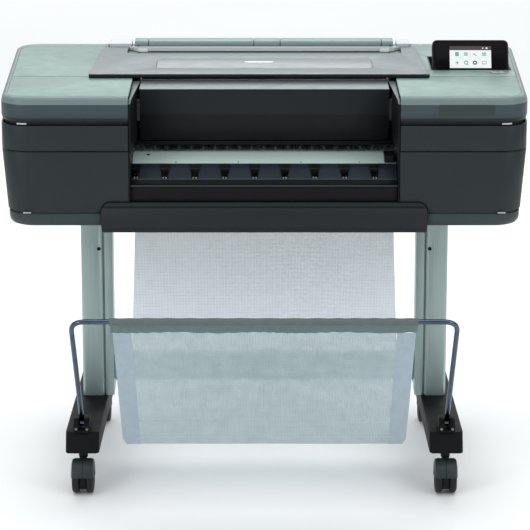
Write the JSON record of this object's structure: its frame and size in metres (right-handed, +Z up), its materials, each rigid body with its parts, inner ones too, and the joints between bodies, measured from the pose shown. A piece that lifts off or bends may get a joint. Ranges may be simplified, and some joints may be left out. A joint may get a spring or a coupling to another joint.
{
  "type": "large format plotter",
  "caption": "Roll-fed large format plotter on a wheeled stand, with hinged lid, tilting touch screen, ink doors, print carriage and a swinging fabric basket.",
  "frame": {"origin": "on the floor, at the middle of the overall box in plan", "axes": "+X to the machine's right as seen from the front, the front faces -Y, +Z up"},
  "size_m": [1.235, 0.8178, 1.0294],
  "materials": {
    "charcoal_plastic": "fine moulded texture",
    "rim_plastic": "satin dark grey",
    "tray_plastic": "satin grey-green",
    "sage_panel": "satin pearl sage",
    "lid_plastic": "satin light grey",
    "lid_window_plastic": "gloss light grey",
    "black_plastic": "satin black",
    "screen_black": "gloss black",
    "window_dark": "smoked, semi gloss",
    "sage_aluminium": "satin anodised sage",
    "platen_metal": "brushed, sage tint",
    "dark_chrome": "dark chrome",
    "steel": "zinc plated sheet",
    "rubber": "matt black",
    "basket_mesh": "open woven mesh, grey-sage",
    "roll_paper": "uncoated paper roll, taken as a light plastic",
    "ink_plastic": "satin dark grey"
  },
  "bodies": {
    "frame": {"left_side_cover": "charcoal_plastic", "left_recess_wall": "charcoal_plastic", "left_top_rim": "rim_plastic", "left_front_top_panel": "sage_panel", "left_rear_top_panel": "sage_panel", "left_ink_cartridges": "ink_plastic", "left_leg": "sage_aluminium", "left_foot": "black_plastic", "left_bar_bracket": "black_plastic", "right_side_cover": "charcoal_plastic", "right_recess_wall": "charcoal_plastic", "right_top_rim": "rim_plastic", "right_front_top_panel": "sage_panel", "right_rear_top_panel": "sage_panel", "right_ink_cartridges": "ink_plastic", "right_leg": "sage_aluminium", "right_foot": "black_plastic", "right_bar_bracket": "black_plastic", "screen_tray": "black_plastic", "power_inlet": "black_plastic", "rear_cover": "lid_plastic", "base_tray": "tray_plastic", "loading_bar": "sage_panel", "lower_front_cover": "charcoal_plastic", "output_front": "charcoal_plastic", "print_window": "window_dark", "output_platen": "window_dark", "platen_strip": "platen_metal", "chassis_frame": "steel", "carriage_beam": "steel", "basket_rear_rod": "steel", "electronics_box": "steel", "carriage_belt": "rubber", "service_station": "ink_plastic", "cross_brace": "sage_aluminium", "basket_rear_sheet": "basket_mesh"},
    "left_ink_door": {"left_ink_door": "charcoal_plastic"},
    "right_ink_door": {"right_ink_door": "charcoal_plastic"},
    "lid": {"lid": "lid_plastic", "lid_window": "lid_window_plastic"},
    "screen": {"screen_housing": "black_plastic", "screen_glass": "screen_black"},
    "power_button": {"power_button": "lid_plastic"},
    "carriage": {"carriage": "black_plastic"},
    "drive_pulley": {"drive_pulley": "steel"},
    "idler_pulley": {"idler_pulley": "steel"},
    "feed_roller": {"feed_roller": "rubber"},
    "pinch_roller": {"pinch_roller": "rubber"},
    "paper_spindle": {"spindle": "ink_plastic", "paper_roll": "roll_paper"},
    "basket_bar": {"basket_bar": "dark_chrome", "basket_front_sheet": "basket_mesh"},
    "left_front_caster": {"left_front_caster_fork": "black_plastic"},
    "left_front_wheel": {"left_front_caster_wheel": "rubber"},
    "left_rear_caster": {"left_rear_caster_fork": "black_plastic"},
    "left_rear_wheel": {"left_rear_caster_wheel": "rubber"},
    "right_front_caster": {"right_front_caster_fork": "black_plastic"},
    "right_front_wheel": {"right_front_caster_wheel": "rubber"},
    "right_rear_caster": {"right_rear_caster_fork": "black_plastic"},
    "right_rear_wheel": {"right_rear_caster_wheel": "rubber"}
  },
  "joints": [
    {"name": "left_ink_door_hinge", "type": "hinge", "parent": "frame", "child": "left_ink_door", "pos_m": [0, -0.289, 0.8445], "axis": [1, 0, 0], "range_deg": [0, 60]},
    {"name": "right_ink_door_hinge", "type": "hinge", "parent": "frame", "child": "right_ink_door", "pos_m": [0, -0.289, 0.8445], "axis": [1, 0, 0], "range_deg": [0, 60]},
    {"name": "lid_hinge", "type": "hinge", "parent": "frame", "child": "lid", "pos_m": [0, 0.348, 0.9711], "axis": [-1, 0, 0], "range_deg": [0, 60]},
    {"name": "screen_tilt", "type": "hinge", "parent": "frame", "child": "screen", "pos_m": [0.493, 0.06, 0.956], "axis": [-1, 0, 0], "range_deg": [-27, 50]},
    {"name": "power_button_press", "type": "slide", "parent": "frame", "child": "power_button", "axis": [0, 0, -1], "range_m": [0, 0.0012], "stiffness_N_per_m": 400},
    {"name": "carriage_slide", "type": "slide", "parent": "frame", "child": "carriage", "axis": [-1, 0, 0], "range_m": [0, 0.9]},
    {"name": "drive_pulley_spin", "type": "hinge", "parent": "frame", "child": "drive_pulley", "pos_m": [0.53, 0.034, 0.914], "axis": [0, 1, 0], "continuous": true},
    {"name": "idler_pulley_spin", "type": "hinge", "parent": "frame", "child": "idler_pulley", "pos_m": [-0.53, 0.034, 0.914], "axis": [0, 1, 0], "continuous": true},
    {"name": "feed_roller_spin", "type": "hinge", "parent": "frame", "child": "feed_roller", "pos_m": [0, 0.016, 0.789], "axis": [1, 0, 0], "continuous": true},
    {"name": "pinch_roller_spin", "type": "hinge", "parent": "frame", "child": "pinch_roller", "pos_m": [0, 0.016, 0.8127], "axis": [1, 0, 0], "continuous": true},
    {"name": "paper_spindle_spin", "type": "hinge", "parent": "frame", "child": "paper_spindle", "pos_m": [0, 0.228, 0.854], "axis": [1, 0, 0], "continuous": true},
    {"name": "basket_bar_swing", "type": "hinge", "parent": "frame", "child": "basket_bar", "pos_m": [0, -0.197, 0.165], "axis": [-1, 0, 0], "range_deg": [0, 55]},
    {"name": "left_front_caster_swivel", "type": "hinge", "parent": "frame", "child": "left_front_caster", "pos_m": [-0.42981, -0.205, 0.09], "axis": [0, 0, 1], "continuous": true},
    {"name": "left_front_wheel_spin", "type": "hinge", "parent": "left_front_caster", "child": "left_front_wheel", "pos_m": [-0.42981, -0.225, 0.04], "axis": [1, 0, 0], "continuous": true},
    {"name": "left_rear_caster_swivel", "type": "hinge", "parent": "frame", "child": "left_rear_caster", "pos_m": [-0.41898, 0.348, 0.09], "axis": [0, 0, 1], "continuous": true},
    {"name": "left_rear_wheel_spin", "type": "hinge", "parent": "left_rear_caster", "child": "left_rear_wheel", "pos_m": [-0.41898, 0.328, 0.04], "axis": [1, 0, 0], "continuous": true},
    {"name": "right_front_caster_swivel", "type": "hinge", "parent": "frame", "child": "right_front_caster", "pos_m": [0.42981, -0.205, 0.09], "axis": [0, 0, 1], "continuous": true},
    {"name": "right_front_wheel_spin", "type": "hinge", "parent": "right_front_caster", "child": "right_front_wheel", "pos_m": [0.42981, -0.225, 0.04], "axis": [1, 0, 0], "continuous": true},
    {"name": "right_rear_caster_swivel", "type": "hinge", "parent": "frame", "child": "right_rear_caster", "pos_m": [0.41898, 0.348, 0.09], "axis": [0, 0, 1], "continuous": true},
    {"name": "right_rear_wheel_spin", "type": "hinge", "parent": "right_rear_caster", "child": "right_rear_wheel", "pos_m": [0.41898, 0.328, 0.04], "axis": [1, 0, 0], "continuous": true}
  ],
  "couplings": [
    {"joint": "drive_pulley_spin", "follows": "carriage_slide", "rad_per_m": -75.758},
    {"joint": "idler_pulley_spin", "follows": "carriage_slide", "rad_per_m": -75.758},
    {"joint": "pinch_roller_spin", "follows": "feed_roller_spin", "ratio": -1.8072}
  ]
}
